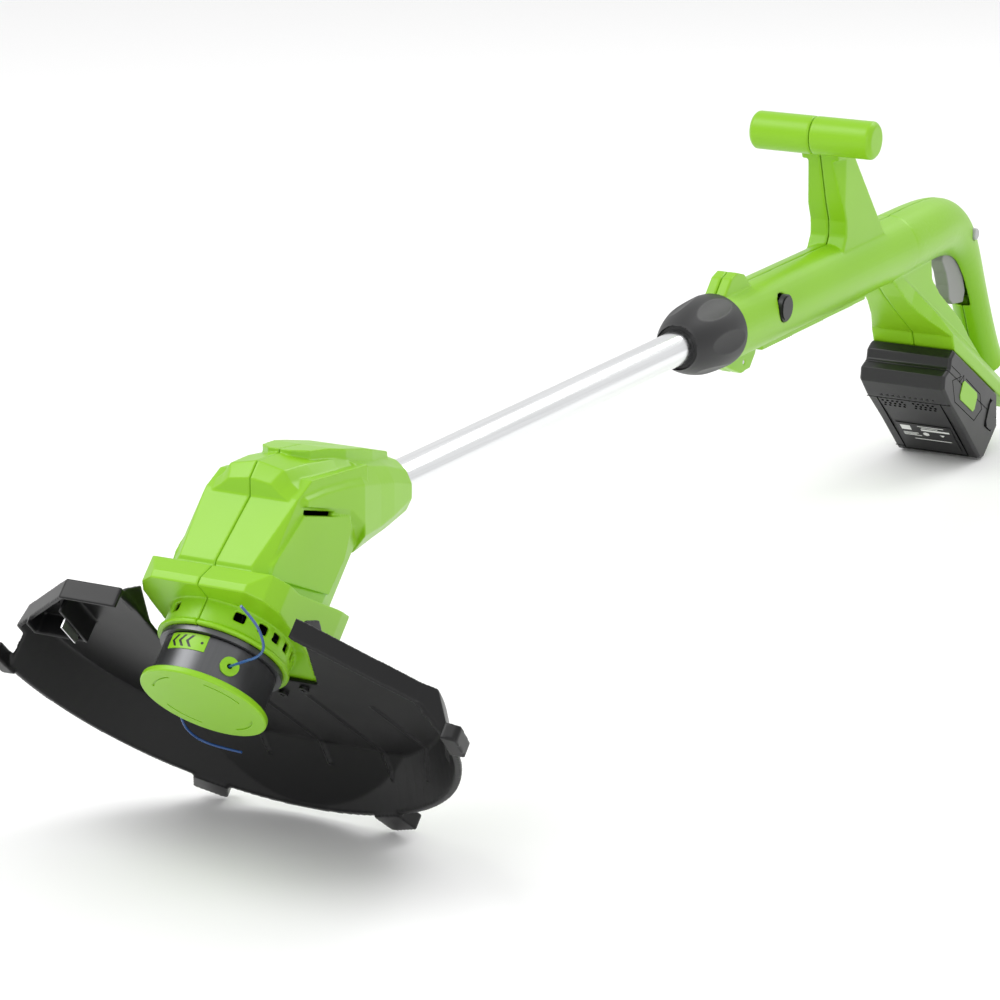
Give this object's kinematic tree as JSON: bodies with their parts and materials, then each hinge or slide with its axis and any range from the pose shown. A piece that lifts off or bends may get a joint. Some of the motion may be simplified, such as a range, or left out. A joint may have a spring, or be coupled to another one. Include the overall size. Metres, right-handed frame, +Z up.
{
  "type": "cordless string trimmer and edger",
  "caption": "Battery string trimmer on a sliding shaft: tilted motor head, spool, debris guard, T-handle, loop grip with trigger and slide-on battery.",
  "frame": {"origin": "middle of the footprint on the floor, under the shaft", "axes": "+X along the shaft from the cutting head to the loop handle, +Y to the left of the user, +Z up"},
  "size_m": [1.3846, 0.3372, 0.3393],
  "materials": {
    "lime_plastic": "moulded, semi-gloss",
    "black_plastic": "moulded, fine texture",
    "grey_plastic": "moulded, fine texture",
    "dark_grip": "soft touch",
    "drum_grey": "metallic fleck, satin",
    "tube_aluminium": "bright drawn",
    "steel": "bright zinc",
    "can_steel": "plated",
    "copper": "enamelled wire",
    "ferrite": "sintered",
    "blue_line": "translucent nylon",
    "label_print": "printed film",
    "board_green": "solder mask",
    "cell_wrap": "shrink wrap",
    "brass_contact": "tin flashed"
  },
  "bodies": {
    "handle": {"handle_shell_left": "lime_plastic", "handle_shell_right": "lime_plastic", "handle_screws": "steel", "side_plug_left": "black_plastic", "side_plug_right": "black_plastic", "switch_module": "black_plastic", "dock_block": "black_plastic", "dock_terminals": "brass_contact", "trigger_pin": "steel", "clamp_collet": "black_plastic", "collar_ring": "black_plastic", "coiled_lead": "black_plastic"},
    "slider": {"guide_bush": "black_plastic"},
    "shaft": {"shaft_tube": "tube_aluminium", "motor_housing_left": "lime_plastic", "motor_housing_right": "lime_plastic", "housing_screws": "steel", "motor_can": "can_steel", "motor_end_cap": "black_plastic", "motor_magnets": "ferrite", "motor_bearings": "steel", "guard": "black_plastic", "guard_screws": "steel", "line_cutter": "steel"},
    "rotor": {"motor_shaft": "steel", "armature": "can_steel", "commutator": "copper", "cooling_fan": "black_plastic", "drive_hub": "black_plastic", "drum_crown": "drum_grey", "spool_drum": "drum_grey", "line_reel": "black_plastic", "wound_line": "blue_line", "reel_spring": "steel", "line_eyelets": "lime_plastic", "direction_label": "lime_plastic", "cutting_line_front": "blue_line", "cutting_line_rear": "blue_line"},
    "cap": {"spool_cap": "lime_plastic"},
    "collar": {"collar_nut": "dark_grip"},
    "trigger": {"trigger": "grey_plastic"},
    "plunger": {"switch_plunger": "grey_plastic"},
    "lock_off": {"lock_off_button": "grey_plastic"},
    "battery": {"battery_case_upper": "black_plastic", "battery_case_lower": "black_plastic", "battery_cells": "cell_wrap", "battery_board": "board_green", "pack_terminals": "brass_contact", "battery_label": "label_print", "battery_badge": "lime_plastic"},
    "latch_left": {"battery_latch_left": "grey_plastic"},
    "latch_right": {"battery_latch_right": "grey_plastic"}
  },
  "joints": [
    {"name": "length_adjust", "type": "slide", "parent": "handle", "child": "slider", "axis": [-0.9999, 0, -0.0147], "range_m": [-0.12, 0.13]},
    {"name": "head_turn", "type": "hinge", "parent": "slider", "child": "shaft", "pos_m": [0.23802, 0, 0.20427], "axis": [0.9999, 0, 0.0147], "range_deg": [0, 180]},
    {"name": "spool_spin", "type": "hinge", "parent": "shaft", "child": "rotor", "pos_m": [-0.60212, 0, 0.1534], "axis": [0.6929, 0, 0.721], "continuous": true},
    {"name": "cap_release", "type": "slide", "parent": "rotor", "child": "cap", "axis": [-0.6929, 0, -0.721], "range_m": [0, 0.03]},
    {"name": "collar_twist", "type": "hinge", "parent": "handle", "child": "collar", "pos_m": [0.04804, 0, 0.20149], "axis": [0.9999, 0, 0.0147], "range_deg": [0, 90]},
    {"name": "trigger_pull", "type": "hinge", "parent": "handle", "child": "trigger", "pos_m": [0.54836, 0, 0.18382], "axis": [0, -1, 0], "range_deg": [0, 8], "stiffness_Nm_per_rad": 2, "springref_deg": -6.88},
    {"name": "plunger_travel", "type": "slide", "parent": "handle", "child": "plunger", "axis": [0.8045, 0, 0.594], "range_m": [0, 0.0066]},
    {"name": "lock_off_push", "type": "slide", "parent": "handle", "child": "lock_off", "axis": [0, 1, 0], "range_m": [-0.002, 0.002], "stiffness_N_per_m": 900},
    {"name": "battery_release", "type": "slide", "parent": "handle", "child": "battery", "axis": [0.8733, 0, -0.4872], "range_m": [0, 0.16]},
    {"name": "latch_left_press", "type": "slide", "parent": "battery", "child": "latch_left", "axis": [0, -1, 0], "range_m": [0, 0.002], "stiffness_N_per_m": 1500, "springref_m": -0.001},
    {"name": "latch_right_press", "type": "slide", "parent": "battery", "child": "latch_right", "axis": [0, 1, 0], "range_m": [0, 0.002], "stiffness_N_per_m": 1500, "springref_m": -0.001}
  ],
  "couplings": [
    {"joint": "plunger_travel", "follows": "trigger_pull", "m_per_rad": 0.045}
  ]
}
